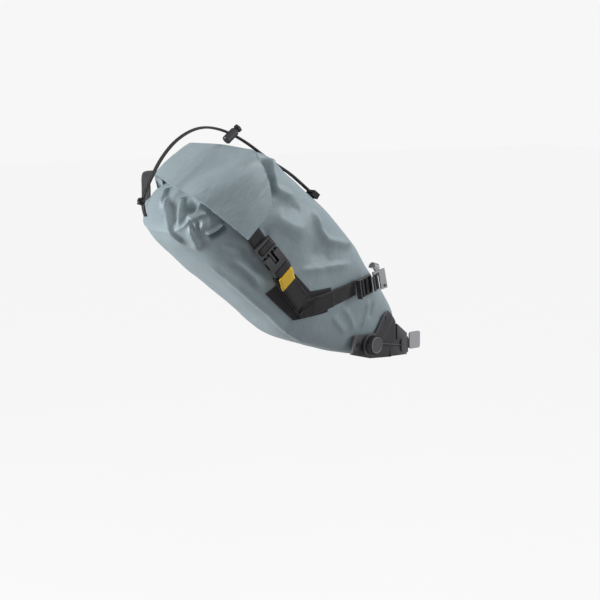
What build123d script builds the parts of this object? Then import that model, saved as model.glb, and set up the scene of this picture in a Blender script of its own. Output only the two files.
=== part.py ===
from build123d import *
import math
import os

# Seat-post saddle bag with a roll-top closure, rail hooks and a dial-tightened post bracket.
# Millimetres.  +Z runs up the seat post, +X is the bicycle's forward direction and +Y its left side.
# The origin is the middle of the seat-post clamp, on the post's axis.

# ---- driving dimensions ----------------------------------------------------------------------
POST_RADIUS = 13.6            # 27.2 mm seat post
CLAMP_LOW, CLAMP_HIGH = -9.0, 13.0
FABRIC = 2.0                  # wall of the coated fabric with its foam liner
WEBBING = 1.8                 # thickness of the straps
BUCKLE_WEB = 24.0             # width of the closure straps
RAIL_WEB = 20.0               # width of the rail straps
RAIL_RADIUS = 3.5
RAIL_HALF_SPACING = 22.0
RAIL_DROP = 0.306             # the rails fall this much per millimetre forward
RAIL_HEIGHT = 96.0            # height of the rails at the post's axis
BOTTOM_WIDTH_RATIO = 0.85     # the underside is narrower than the top
CORNER_RATIO = 0.55           # corner radius of a section over its half width
CORD = 3.0
PARTS = "parts"

# Sections of the bag from the nose to the gathered end: bottom (x, z), top (x, z), half width.
SECTIONS = [
    ((-26, -12), (-17, 20), 17),
    ((-58, -10), (-18, 54), 23),
    ((-95, -5), (-50, 97), 33),
    ((-143, 10), (-80, 134), 47),
    ((-200, 34), (-100, 154), 62),
    ((-242, 64), (-137, 191), 70),
    ((-302, 112), (-198, 239), 76),
    ((-355, 155), (-250, 271), 76),
    ((-366, 178), (-296, 265), 66),
]
NOSE = 0
MOUTH = 7                     # the body's rim
END = 8                       # the end of the gathered collar

# Frame of the closure buckle on the right side: x runs up the strap, z points away from the bag.
BUCKLE_ORIGIN = (-255.0, -72.5, 148.2)
STRAP_UP = Vector(-0.66, 0, 0.75).normalized()
BUCKLE = Plane(origin=BUCKLE_ORIGIN, x_dir=STRAP_UP, z_dir=(0, -1, 0))
BUCKLE_WIDTH = 26.5
BUCKLE_DEPTH = 7.0
FEMALE_END, FEMALE_MOUTH = -25.0, 2.0
MALE_START, MALE_END = 5.0, 21.0
PRONG_TIP = -11.6
PRONG_OFFSET = 6.2            # from the centre line to a prong's hinge

# Frame of the dial: z is the axis it turns on, leaning forward with the side of the nose.
DIAL_LEAN = math.radians(13)
DIAL_AXIS = Vector(math.sin(DIAL_LEAN), -math.cos(DIAL_LEAN), 0)
DIAL = Plane(origin=(-69, -32, 13.5), x_dir=(math.cos(DIAL_LEAN), math.sin(DIAL_LEAN), 0), z_dir=DIAL_AXIS)
DIAL_RADIUS = 12.5

# Frame of the cord lock: z is the plunger's axis.
LOCK_CENTRE = (-266.0, -8.0, 291.5)
LOCK_AXIS = Vector(0.768, 0, 0.64).normalized()
LOCK = Plane(origin=LOCK_CENTRE, x_dir=(0, 1, 0), z_dir=LOCK_AXIS)
LOCK_TRAVEL = 4.0

# The shock cord's route, from the webbing loop over the closure to the knot and the cut end.
CORD_ROUTE = [
    (-164, -32, 217), (-180, -31.5, 230), (-198, -30.5, 244), (-220, -21, 259), (-249, -8, 284),
    (-283, -7, 299), (-312, -5, 301.5), (-340, -2, 288), (-361, 1, 265), (-375, 3, 239),
    (-388, 4, 214), (-382, 3, 196),
]
KNOT_POINT = 10
STRAND_GAP = 3.3              # between the centres of the two strands

# Frame of the rail hook on the right side: z runs forward along the rail, x points outward.
HOOK_X = -55.5
RAIL_AXIS = Vector(1, 0, -RAIL_DROP).normalized()
HOOK_ORIGIN = (HOOK_X, -RAIL_HALF_SPACING, RAIL_HEIGHT - RAIL_DROP * HOOK_X)
HOOK = Plane(origin=HOOK_ORIGIN, x_dir=(0, -1, 0), z_dir=RAIL_AXIS)
HOOK_WIDTH = 8.0
HOOK_GRIP = RAIL_RADIUS + 0.5
HOOK_PLATE = 2.6              # thickness of the hook's sheet
LEG_OUT, LEG_DOWN = 22.8, 12.0  # from the rail's axis to the middle of the hook's foot
BAR_X = -12.9                 # the foot's rear bar, which the strap loops round

# Frame of the ladder lock on the right rail strap: x runs forward along the strap.
LADDER = Plane(origin=(-97, -52.5, 95), x_dir=Vector(0.93, 0.282, 0.21), z_dir=Vector(0.29, -0.957, 0))

# Post strap: a stiff band round the front of the post, hinged on the left.
STRAP_INNER = POST_RADIUS + 0.4
STRAP_OUTER = STRAP_INNER + 3.0
HINGE = (7.0, 20.5)
BRACKET_FRONT = 3.0


# ---- helpers ---------------------------------------------------------------------------------
def box(plane, x, y, z):
    """A box in a plane's own frame; x, y and z are (low, high) pairs."""
    solid = Box(x[1] - x[0], y[1] - y[0], z[1] - z[0])
    middle = Pos((x[0] + x[1]) / 2, (y[0] + y[1]) / 2, (z[0] + z[1]) / 2)
    return plane.location * middle * solid


def disc(plane, x, y, radius, z):
    """A cylinder along a plane's z, from z[0] to z[1]."""
    return plane.location * Pos(x, y, (z[0] + z[1]) / 2) * Cylinder(radius, z[1] - z[0])


def side_prism(points, low, high):
    """A prism with its outline in X and Z, running from y = low to y = high."""
    outline = Plane.XZ * Polygon(*points, align=None)
    return extrude(Pos(0, high, 0) * outline, amount=high - low, dir=(0, -1, 0))


def section_face(index, grow, shift):
    """One rounded section of the bag, offset outward by grow and moved along its normal."""
    bottom, top, half_width = SECTIONS[index]
    low = Vector(bottom[0], 0, bottom[1])
    high = Vector(top[0], 0, top[1])
    up = (high - low).normalized()
    plane = Plane(origin=(low + high) * 0.5, x_dir=(0, 1, 0), z_dir=Vector(0, 1, 0).cross(up))
    half_height = (high - low).length / 2 + grow
    top_width = half_width + grow
    bottom_width = half_width * BOTTOM_WIDTH_RATIO + grow
    corners = [(-bottom_width, -half_height), (bottom_width, -half_height),
               (top_width, half_height), (-top_width, half_height)]
    face = Polygon(*corners, align=None)
    face = fillet(face.vertices(), CORNER_RATIO * half_width * 0.9 + grow)
    return plane.offset(shift) * face


def bag_form(grow, first=NOSE, last=END, first_shift=0.0, last_shift=0.0):
    """The outer form of the bag between two sections, offset outward by grow."""
    faces = []
    for index in range(first, last + 1):
        shift = 0.0
        if index == first:
            shift = first_shift
        if index == last:
            shift = -last_shift
        faces.append(section_face(index, grow, shift))
    return loft(faces, ruled=True)


def skin(low, high):
    """A layer over the whole bag between two offsets of its surface."""
    outer = bag_form(high, first_shift=high, last_shift=high)
    inner = bag_form(low, first_shift=low, last_shift=low)
    return outer - inner


def mirrored(solid):
    """The left-hand twin of a right-hand piece."""
    return mirror(solid, about=Plane.XZ)


def save(name, solid):
    solids = solid.solids()
    shape = solids[0] if len(solids) == 1 else Compound(children=list(solids))
    shape.label = name
    export_step(shape, os.path.join(PARTS, name + ".step"))


def save_pair(name, solid):
    save(name + "_right", solid)
    save(name + "_left", mirrored(solid))


# ---- bag -------------------------------------------------------------------------------------
def bag_body():
    outer = bag_form(0, last=MOUTH)
    inner = bag_form(-FABRIC, last=MOUTH, first_shift=-FABRIC, last_shift=5)
    return outer - inner


def collar():
    """The fabric gathered over the mouth, under the rolled end."""
    outer = bag_form(0, first=MOUTH)
    inner = bag_form(-FABRIC, first=MOUTH, first_shift=5, last_shift=-FABRIC)
    return outer - inner


def nose_stiffener():
    """A plastic sheet inside the nose, along its bottom and sides."""
    layer = bag_form(-FABRIC - 0.3, last=5, first_shift=-FABRIC - 0.3)
    layer -= bag_form(-FABRIC - 1.9, last=5, first_shift=-FABRIC - 1.9, last_shift=5)
    outline = [(-10, -20), (-190, -20), (-190, 45), (-150, 45), (-60, 32), (-10, 18)]
    return layer & side_prism(outline, -90, 90)


def roll_top():
    """The rolled end, folded down over the mouth and both sides of the bag."""
    outline = [(-254, 207), (-286, 168), (-336, 206), (-392, 232), (-392, 330), (-263, 330), (-262, 262)]
    roll = skin(1.0, 8.0) & side_prism(outline, -110, 110)
    channel = box(BUCKLE, (15, 75), (-BUCKLE_WEB / 2 - 0.4, BUCKLE_WEB / 2 + 0.4), (-3.5, 0.7))
    roll -= channel
    roll -= mirrored(channel)
    pocket = roll_stiffener()
    return roll - pocket


def roll_stiffener():
    """The flat strip that the mouth is rolled round, lying across the bag inside the roll."""
    section_top = SECTIONS[MOUTH][1]
    return Pos(section_top[0] - 26, 0, section_top[1] + 1.2) * Rot(0, 8, 0) * Box(22, 96, 2.0)


# ---- post bracket ----------------------------------------------------------------------------
def mount_bracket():
    """Moulded arms round the nose, wings above them, and the cradle behind the post."""
    arms = [(-98, 2), (-98, 28), (-57, 27), (-44, 50), (-36, 55), (-30, 50), (-12, 30), (-12, -11), (-60, -8)]
    nose = skin(0.4, 3.6) & side_prism(arms, -80, 80)
    cradle = Pos(-11, 0, 2) * Box(28, 41, 22)
    cheeks = side_prism([(-14, 13), (-14, 34), (BRACKET_FRONT, 20), (BRACKET_FRONT, 13)], -20.5, 20.5)
    cheeks -= Pos(0, 0, 30) * Box(60, 33.4, 34.1)
    bracket = nose + cradle + cheeks
    bracket -= bag_form(0.4, last=4, first_shift=0.4)
    bracket -= Pos(0, 0, 2) * Cylinder(POST_RADIUS + 2.4, 80)
    for low, high in ((-9, -4.2), (8.2, 13)):
        knuckle = Pos(HINGE[0], HINGE[1], (low + high) / 2) * Cylinder(3.2, high - low)
        web_length = HINGE[0] - BRACKET_FRONT + 4
        web_middle = (HINGE[0] + BRACKET_FRONT - 4) / 2
        web = Pos(web_middle, 19.2, (low + high) / 2) * Box(web_length, 2.6, high - low)
        bracket += knuckle + web
    bracket -= Pos(HINGE[0], HINGE[1], 2) * Cylinder(1.25, 40)
    bracket -= disc(DIAL, 0, 0, 9.2, (-1.4, 12))
    return bracket


def post_pad():
    """A rubber lining in the cradle, over the rear half of the post."""
    height = CLAMP_HIGH - CLAMP_LOW
    middle = (CLAMP_HIGH + CLAMP_LOW) / 2
    ring = Cylinder(POST_RADIUS + 2.4, height) - Cylinder(POST_RADIUS, height + 2)
    ring &= Pos(-21.5, 0, 0) * Box(42, 60, height)
    return Pos(0, 0, middle) * ring


def bracket_rivets():
    """Flat rivet heads on the wings and the rear ends of the arms."""
    layer = skin(3.6, 4.8)
    heads = []
    for x, z in ((-38, 46), (-90, 15)):
        head = layer & Pos(x, -40, z) * Rot(90, 0, 0) * Cylinder(2.6, 40)
        heads += [head, mirrored(head)]
    return Compound(children=heads)


# ---- dial and post strap ---------------------------------------------------------------------
def dial_base():
    """The dial's fixed housing: a flanged cup seated in the right arm."""
    base = disc(DIAL, 0, 0, 14.2, (0.2, 3.0))
    base += disc(DIAL, 0, 0, 9.0, (-1.2, 0.4))
    base -= disc(DIAL, 0, 0, 6.6, (0.8, 4))
    base -= disc(DIAL, 0, 0, 2.4, (-2, 4))
    return base


def dial_spool():
    """The drum that winds the lace."""
    spool = disc(DIAL, 0, 0, 6.3, (1.1, 1.7)) + disc(DIAL, 0, 0, 6.3, (2.5, 3.1))
    spool += disc(DIAL, 0, 0, 4.6, (1.1, 3.1))
    spool -= disc(DIAL, 0, 0, 2.8, (0, 6))
    return spool


def dial_sleeve():
    """The sleeve that slides out of the housing and carries the knob."""
    sleeve = disc(DIAL, 0, 0, 2.3, (-1.0, 8.4))
    sleeve += disc(DIAL, 0, 0, 4.2, (3.5, 4.1))
    return sleeve


def dial_knob():
    """The grip that is turned to wind the lace, with a grooved rim."""
    knob = disc(DIAL, 0, 0, DIAL_RADIUS, (3.4, 11.5))
    knob = chamfer(knob.edges().group_by(SortBy.LENGTH)[-1], 0.8)
    knob -= disc(DIAL, 0, 0, 9.6, (3.0, 5.0))
    knob -= disc(DIAL, 0, 0, 2.36, (3.0, 8.8))
    knob -= disc(DIAL, 0, 0, 10.0, (10.6, 12.0))
    for step in range(20):
        angle = math.radians(step * 18)
        reach = DIAL_RADIUS + 0.6
        knob -= disc(DIAL, reach * math.cos(angle), reach * math.sin(angle), 1.2, (3, 12))
    return knob


def dial_face():
    """The plain cap on the knob."""
    return disc(DIAL, 0, 0, 9.8, (10.6, 11.9))


def dial_lace():
    """The lace from the dial to the post strap, along the right arm."""
    start = DIAL.from_local_coords((15.0, 0, 1.4))
    end = Vector(-9.4, -22.3, 5)
    run = end - start
    path = Plane(origin=start, z_dir=run)
    return path.location * Pos(0, 0, run.length / 2) * Cylinder(0.8, run.length)


def lace_guide():
    """The eyelet on the cradle that turns the lace towards the post strap."""
    guide = Pos(-4, -20.7, 5) * Box(8, 5.0, 17)
    guide = fillet(guide.edges().filter_by(Axis.Y), 3.4)
    guide -= Pos(-4, -22.3, 5) * Rot(0, 90, 0) * Cylinder(0.95, 12)
    guide -= Pos(-4, -18.0, 5) * Box(20, 5, 40)
    return guide


def post_strap():
    """The band round the front of the post, with the hinge eye on its left end."""
    band = Cylinder(STRAP_OUTER, 20) - Cylinder(STRAP_INNER, 24)
    band &= Pos(BRACKET_FRONT + 0.5 + 20, 0, 0) * Box(40, 60, 20)
    band = Pos(0, 0, 2) * band
    eye = Pos(HINGE[0], HINGE[1], 2) * Cylinder(3.2, 11.6)
    web = Pos(7.6, 17.3, 2) * Box(5.6, 4, 11.6)
    web -= Pos(0, 0, 2) * Cylinder(STRAP_OUTER - 0.5, 30)
    band += eye + web
    band -= Pos(HINGE[0], HINGE[1], 2) * Cylinder(1.3, 40)
    latch = Pos(7.0, -17.0, 5) * Box(6.0, 5.0, 12)
    latch -= Pos(0, 0, 2) * Cylinder(STRAP_OUTER - 0.5, 30)
    return band + latch


def strap_hinge_pin():
    return Pos(HINGE[0], HINGE[1], 2) * Cylinder(1.25, 24)


def strap_pull_tab():
    """The finger tab at the free end of the post strap."""
    tab = Pos(17.5, -18.4, 9) * Rot(0, 0, 6) * Box(20, 2.2, 23)
    tab = fillet(tab.edges().filter_by(Axis.Y, tolerance=8), 3.0)
    return tab - post_strap()


# ---- side patches and rail straps ------------------------------------------------------------
def side_patch():
    """The abrasion patch that spreads the pull of both straps."""
    outline = [(-248, 98), (-204, 61), (-153, 67), (-153, 99), (-186, 97), (-212, 121), (-232, 112)]
    return skin(0.3, 1.5) & side_prism(outline, -110, 0)


def rail_strap():
    """Webbing sewn to the patch, running forward into the ladder lock."""
    outline = [(-192, 66), (-106, 84.5), (-110.5, 104), (-196, 86)]
    return skin(1.7, 3.3) & side_prism(outline, -110, 0)


def ladder_lock():
    frame = box(LADDER, (-14, 14), (-12.5, 12.5), (0, 4.6))
    frame = chamfer(frame.edges().group_by(SortBy.LENGTH)[-1], 0.8)
    for x in ((-10.6, -6.6), (-2.0, 2.0), (6.6, 10.6)):
        frame -= box(LADDER, x, (-RAIL_WEB / 2 - 0.4, RAIL_WEB / 2 + 0.4), (-1, 6))
    frame += box(LADDER, (-13.4, -11), (-12.5, 12.5), (4.0, 6.4))
    return frame


def hook_foot():
    """The plane of the hook's flat foot: x runs forward along its strap, z points outward."""
    return Plane(origin=HOOK.from_local_coords((LEG_OUT, LEG_DOWN, 0)), x_dir=(0.977, 0, 0.213), z_dir=(0, -1, 0))


def rail_hook():
    """A bent aluminium hook that drops over a saddle rail, with a slotted foot for its strap."""
    outer = HOOK_GRIP + HOOK_PLATE
    ring = Cylinder(outer, HOOK_WIDTH) - Cylinder(HOOK_GRIP, HOOK_WIDTH + 2)
    ring -= Pos(-10, 12.2, 0) * Box(40, 22, HOOK_WIDTH + 4)
    hook = HOOK.location * ring
    leg = [(HOOK_GRIP, -1.5), (outer, -2.5), (outer, 1.0), (LEG_OUT + HOOK_PLATE, 11.5),
           (LEG_OUT + HOOK_PLATE, 21.0), (LEG_OUT, 21.0), (LEG_OUT, 12.8), (HOOK_GRIP, 2.6)]
    hook += extrude(HOOK * Polygon(*leg, align=None), amount=HOOK_WIDTH / 2, both=True)
    foot = hook_foot()
    hook += box(foot, (BAR_X - 2.1, 4.0), (-13.0, 13.0), (0, HOOK_PLATE))
    hook -= box(foot, (BAR_X + 2.1, BAR_X + 6.8), (-RAIL_WEB / 2 - 0.5, RAIL_WEB / 2 + 0.5), (-2, 5))
    return hook


def hook_rivet():
    """The rivet through the foot of the hook."""
    return disc(hook_foot(), 0.4, -9.0, 1.7, (HOOK_PLATE, HOOK_PLATE + 1.2))


def hook_strap():
    """Webbing from the ladder lock, looped round the rear bar of the hook's foot."""
    foot = hook_foot()
    bar = Plane(origin=foot.from_local_coords((BAR_X, 0, HOOK_PLATE / 2)), x_dir=(0, -1, 0), z_dir=foot.y_dir)
    loop = disc(bar, 0, 0, 4.2, (-RAIL_WEB / 2, RAIL_WEB / 2)) - disc(bar, 0, 0, 2.7, (-15, 15))
    start = LADDER.from_local_coords((14.1, 0, 2.3))
    run = bar.origin - start
    outward = Vector(run.Y, -run.X, 0).normalized()
    face = Plane(origin=start, x_dir=run, z_dir=outward)
    strap = box(face, (0, run.length - 3.9), (-RAIL_WEB / 2, RAIL_WEB / 2), (-0.9, 0.9))
    return (loop + strap - ladder_lock()).solids().sort_by(SortBy.VOLUME)[-1]


def buckle_female():
    """The socket half of the side-release buckle, with open sides for the prongs."""
    half = BUCKLE_WIDTH / 2
    shell = box(BUCKLE, (FEMALE_END, FEMALE_MOUTH), (-half, half), (0, BUCKLE_DEPTH))
    shell = chamfer(shell.edges().group_by(SortBy.LENGTH)[-1], 1.0)
    shell -= box(BUCKLE, (-15.5, FEMALE_MOUTH + 1), (-10.9, 10.9), (1.4, 5.6))
    for side in (-1, 1):
        window = sorted((side * 10.0, side * (half + 1)))
        shell -= box(BUCKLE, (-12.5, -3.0), window, (1.4, 5.6))
    shell -= box(BUCKLE, (-11.5, FEMALE_MOUTH + 1), (-3.6, 3.6), (5.0, BUCKLE_DEPTH + 1))
    shell -= box(BUCKLE, (-22.6, -18.6), (-BUCKLE_WEB / 2 + 0.9, BUCKLE_WEB / 2 - 0.9), (-1, BUCKLE_DEPTH + 1))
    return shell


def buckle_male():
    """The plug half: a ladder frame for the roll strap and the centre guide."""
    frame = box(BUCKLE, (MALE_START, MALE_END), (-BUCKLE_WIDTH / 2, BUCKLE_WIDTH / 2), (0.6, 6.2))
    frame = chamfer(frame.edges().group_by(SortBy.LENGTH)[-1], 0.8)
    for x in ((8.2, 11.4), (14.6, 17.8)):
        frame -= box(BUCKLE, x, (-BUCKLE_WEB / 2 + 0.9, BUCKLE_WEB / 2 - 0.9), (-1, 8))
    return frame + box(BUCKLE, (-11.0, MALE_START + 1), (-1.5, 1.5), (2.0, 4.7))


def buckle_prong(side):
    """One spring arm of the plug, with the pad that is squeezed; side is 1 or -1."""
    arm = [(MALE_START - 0.3, 5.2), (MALE_START - 0.3, 7.4), (-3.4, 8.2), (-4.2, 10.4), (-9.0, 10.4),
           (PRONG_TIP, 7.6), (PRONG_TIP, 6.0), (-8.0, 5.2)]
    outline = Polygon(*[(x, side * y) for x, y in arm], align=None)
    return extrude(BUCKLE.offset(1.8) * outline, amount=3.2, dir=(0, -1, 0))


def roll_strap():
    """Webbing from inside the roll, threaded through the plug's ladder."""
    half = BUCKLE_WEB / 2 - 1.2
    strap = box(BUCKLE, (12.4, 52), (-half, half), (-1.6, 0.2))
    strap += box(BUCKLE, (15.2, 17.0), (-half, half), (-1.6, 8.4))
    strap += box(BUCKLE, (9.0, 17.0), (-half, half), (6.6, 8.4))
    strap += box(BUCKLE, (9.0, 10.8), (-half, half), (-1.6, 8.4))
    return strap


def lower_strap_plane():
    tilt = math.radians(8.6)
    x_dir = -STRAP_UP * math.cos(tilt) + Vector(0, 1, 0) * math.sin(tilt)
    z_dir = Vector(0, -1, 0) * math.cos(tilt) - STRAP_UP * math.sin(tilt)
    return Plane(origin=BUCKLE.from_local_coords((FEMALE_END - 0.2, 0, 0)), x_dir=x_dir, z_dir=z_dir)


def buckle_strap():
    """Webbing looped through the socket, running down over the side patch."""
    half = BUCKLE_WEB / 2 - 1.2
    strap = box(BUCKLE, (-27.0, -25.2), (-half, half), (-1.9, 8.9))
    strap += box(BUCKLE, (-27.0, -19.0), (-half, half), (7.1, 8.9))
    strap += box(BUCKLE, (-20.8, -19.0), (-half, half), (-1.9, 8.9))
    strap += box(BUCKLE, (-27.0, -19.0), (-half, half), (-1.9, -0.1))
    run = box(lower_strap_plane(), (0.4, 68), (-half - 0.6, half + 0.6), (0.6, 3.4))
    return strap + run


def buckle_pull_tab():
    """The folded tab on the end of the adjustable webbing."""
    return box(lower_strap_plane(), (6.0, 23.0), (-BUCKLE_WEB / 2 - 0.4, BUCKLE_WEB / 2 + 0.4), (3.4, 5.4))


# ---- shock cord and its lock -----------------------------------------------------------------
def strand(side):
    """One strand of the cord along the whole route, offset sideways; side is 1 or -1."""
    points = [Vector(x, y + side * STRAND_GAP / 2, z) for x, y, z in CORD_ROUTE]
    radii = []
    for before, here, after in zip(points, points[1:], points[2:]):
        shorter = min((here - before).length, (after - here).length)
        turn = math.radians((here - before).get_angle(after - here))
        radii.append(0.45 * shorter / math.tan(turn / 2))
    print("cord radii", [round(radius, 1) for radius in radii])
    path = FilletPolyline(*points, radius=radii)
    start_plane = Plane(origin=path @ 0, z_dir=path % 0)
    tube = sweep(start_plane * Circle(CORD / 2), path=path)
    expected = math.pi * CORD ** 2 / 4 * path.length
    print("cord volume", round(tube.volume, 1), "expected", round(expected, 1), "length", round(path.length, 1))
    return tube


def shock_cord(side):
    return strand(side) - cord_knot()


def cord_knot():
    x, y, z = CORD_ROUTE[KNOT_POINT]
    return Pos(x, y, z) * Sphere(4.6)


def cord_anchor():
    """The webbing loop on top of the bag that holds the folded cord."""
    plane = Plane(origin=(-162.5, -32, 214.1), x_dir=Vector(1, 0, -0.78), z_dir=Vector(0.78, 0, 1))
    loop = box(plane, (-5, 5), (-8, 8), (-7.0, 4.6))
    loop -= box(plane, (-6, 6), (-4.4, 4.4), (-0.6, 3.4))
    return loop - bag_form(0.05, last=MOUTH)


def cord_lock_barrel():
    barrel = disc(LOCK, 0, 0, 5.6, (-12, 5.5))
    along = Axis(LOCK.origin, LOCK_AXIS)
    barrel = chamfer(barrel.edges().filter_by(GeomType.CIRCLE).group_by(along)[0], 1.0)
    barrel -= disc(LOCK, 0, 0, 4.2, (-10.2, 6))
    return barrel - cord_channel(0.25)


def cord_channel(clearance):
    """The way through the lock for both strands."""
    first = Vector(*CORD_ROUTE[4])
    run = Vector(*CORD_ROUTE[5]) - first
    plane = Plane(origin=first + run * 0.5, x_dir=(0, 1, 0), z_dir=run)
    half = STRAND_GAP / 2 + CORD / 2 + clearance
    return box(plane, (-half, half), (-CORD / 2 - clearance, CORD / 2 + clearance), (-12, 12))


def cord_lock_plunger():
    """The button, bored across for the cord with room for its travel."""
    plunger = disc(LOCK, 0, 0, 4.0, (-4.6, 9.7))
    plunger += disc(LOCK, 0, 0, 5.2, (9.6, 12.5))
    way = cord_channel(0.3)
    for lift in (1.0, 2.0, 3.0, LOCK_TRAVEL + 0.2):
        way += Pos(*(LOCK_AXIS * lift)) * cord_channel(0.3)
    return plunger - way


def cord_lock_spring():
    """The coil under the button, drawn at its pressed height."""
    return disc(LOCK, 0, 0, 3.6, (-10.1, -8.8)) - disc(LOCK, 0, 0, 2.4, (-11, -8))


def main():
    os.makedirs(PARTS, exist_ok=True)
    singles = (bag_body, collar, nose_stiffener, roll_top, roll_stiffener, mount_bracket, post_pad,
               bracket_rivets, dial_base, dial_spool, dial_sleeve, dial_knob, dial_face, dial_lace,
               lace_guide, post_strap, strap_hinge_pin, strap_pull_tab, cord_anchor, cord_knot,
               cord_lock_barrel, cord_lock_plunger, cord_lock_spring)
    pairs = (side_patch, rail_strap, ladder_lock, rail_hook, hook_rivet, hook_strap, buckle_female,
             buckle_male, roll_strap, buckle_strap, buckle_pull_tab)
    for make in singles:
        save(make.__name__, make())
    for make in pairs:
        save_pair(make.__name__, make())
    save_pair("buckle_prong_upper", buckle_prong(1))
    save_pair("buckle_prong_lower", buckle_prong(-1))
    save("shock_cord_right", shock_cord(-1))
    save("shock_cord_left", shock_cord(1))


main()
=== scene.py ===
import math

import bpy
import numpy as np
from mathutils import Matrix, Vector, noise
from mathutils.bvhtree import BVHTree
from mathutils.geometry import delaunay_2d_cdt


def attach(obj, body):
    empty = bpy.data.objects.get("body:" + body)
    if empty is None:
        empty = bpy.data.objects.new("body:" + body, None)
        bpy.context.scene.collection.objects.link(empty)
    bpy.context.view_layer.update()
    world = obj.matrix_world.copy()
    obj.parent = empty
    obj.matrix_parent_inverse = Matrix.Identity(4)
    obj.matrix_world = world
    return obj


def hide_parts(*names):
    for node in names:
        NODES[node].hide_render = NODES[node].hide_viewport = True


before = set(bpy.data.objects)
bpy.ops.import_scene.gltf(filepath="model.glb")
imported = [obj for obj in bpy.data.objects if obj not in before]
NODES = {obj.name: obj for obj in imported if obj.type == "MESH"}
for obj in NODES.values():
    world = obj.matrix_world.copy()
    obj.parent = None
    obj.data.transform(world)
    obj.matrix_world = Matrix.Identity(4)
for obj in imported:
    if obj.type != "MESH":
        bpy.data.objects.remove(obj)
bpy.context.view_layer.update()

# Sections of the bag from nose to gathered end, in metres: bottom (x, z), top (x, z), half width.
SECTIONS = [
    (-0.026, -0.008, -0.017, 0.020, 0.017),
    (-0.058, -0.006, -0.018, 0.054, 0.023),
    (-0.095, 0.001, -0.050, 0.097, 0.033),
    (-0.143, 0.014, -0.080, 0.134, 0.047),
    (-0.200, 0.034, -0.100, 0.154, 0.062),
    (-0.240, 0.066, -0.137, 0.191, 0.070),
    (-0.299, 0.115, -0.198, 0.239, 0.076),
    (-0.351, 0.158, -0.250, 0.271, 0.076),
    (-0.366, 0.178, -0.334, 0.232, 0.063),
]
BOTTOM_RATIO = 0.85
POWER = 3.1
STRAP_UP = np.array([-0.6606, 0.0, 0.7507])
STRAP_ACROSS = np.array([0.7507, 0.0, 0.6606])
BUCKLE_ORIGIN = np.array([-0.255, -0.0725, 0.1482])
FOOT_X = np.array([0.97705, 0.0, 0.21301])
FOOT_Y = np.array([-0.21301, 0.0, 0.97705])


# ---------------------------------------------------------------- mesh helpers
def unit(v):
    v = np.asarray(v, float)
    return v / np.maximum(np.linalg.norm(v, axis=-1, keepdims=True), 1e-12)


def catmull(points, count):
    """A smooth line through the points, count steps in each span."""
    p = np.asarray(points, float)
    p = np.vstack([2 * p[0] - p[1], p, 2 * p[-1] - p[-2]])
    out = []
    for i in range(1, len(p) - 2):
        for k in range(count):
            t = k / count
            a, b, c, d = p[i - 1], p[i], p[i + 1], p[i + 2]
            square, cube = 2 * a - 5 * b + 4 * c - d, 3 * b - 3 * c + d - a
            out.append(0.5 * (2 * b + (c - a) * t + square * t * t + cube * t ** 3))
    out.append(p[-2])
    return np.array(out)


def make(name, verts, faces, material, cloth=None, smooth=True):
    mesh = bpy.data.meshes.new(name)
    mesh.from_pydata([tuple(v) for v in verts], [], [tuple(int(i) for i in f) for f in faces])
    mesh.validate()
    if smooth:
        mesh.polygons.foreach_set("use_smooth", [True] * len(mesh.polygons))
    attribute = mesh.attributes.new("cloth", "FLOAT_VECTOR", "POINT")
    flat = np.asarray(verts if cloth is None else cloth, np.float32)
    attribute.data.foreach_set("vector", flat.ravel())
    mesh.materials.append(material)
    obj = bpy.data.objects.new(name, mesh)
    bpy.context.scene.collection.objects.link(obj)
    return obj


def grid_faces(rows, cols, wrap=False, start=0, flip=False):
    faces = []
    for i in range(rows - 1):
        for j in range(cols if wrap else cols - 1):
            k = (j + 1) % cols
            row, below = start + i * cols, start + (i + 1) * cols
            f = (row + j, row + k, below + k, below + j)
            faces.append(f[::-1] if flip else f)
    return faces


def grid_normals(g):
    du = np.gradient(g, axis=0)
    dv = np.gradient(g, axis=1)
    return unit(np.cross(du, dv))


def join(name, objects):
    """Joins objects into one with that name."""
    for o in bpy.context.selected_objects:
        o.select_set(False)
    for o in objects:
        o.select_set(True)
    bpy.context.view_layer.objects.active = objects[0]
    bpy.ops.object.join()
    objects[0].name = name
    return objects[0]


# ---------------------------------------------------------------- materials
def new_material(name):
    m = bpy.data.materials.new(name)
    m.use_nodes = True
    nodes = m.node_tree.nodes
    return m, nodes, m.node_tree.links, nodes["Principled BSDF"]


def srgb(r, g, b):
    def lin(c):
        c = c / 255
        return c / 12.92 if c <= 0.04045 else ((c + 0.055) / 1.055) ** 2.4
    return (lin(r), lin(g), lin(b), 1.0)


def coords(nodes, links, source, scale):
    if source == "cloth":
        a = nodes.new("ShaderNodeAttribute")
        a.attribute_name = "cloth"
        out = a.outputs["Vector"]
    else:
        out = nodes.new("ShaderNodeTexCoord").outputs["Object"]
    m = nodes.new("ShaderNodeMapping")
    m.inputs["Scale"].default_value = scale
    links.new(out, m.inputs["Vector"])
    return m.outputs["Vector"]


def noise_node(nodes, links, vector, scale, detail=2.0, roughness=0.5):
    n = nodes.new("ShaderNodeTexNoise")
    n.inputs["Scale"].default_value = scale
    n.inputs["Detail"].default_value = detail
    n.inputs["Roughness"].default_value = roughness
    links.new(vector, n.inputs["Vector"])
    return n.outputs["Fac"]


def ramp(nodes, links, value, stops):
    r = nodes.new("ShaderNodeValToRGB")
    r.color_ramp.elements[0].position = stops[0][0]
    r.color_ramp.elements[0].color = stops[0][1]
    r.color_ramp.elements[1].position = stops[-1][0]
    r.color_ramp.elements[1].color = stops[-1][1]
    for position, colour in stops[1:-1]:
        r.color_ramp.elements.new(position).color = colour
    links.new(value, r.inputs["Fac"])
    return r.outputs["Color"]


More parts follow.
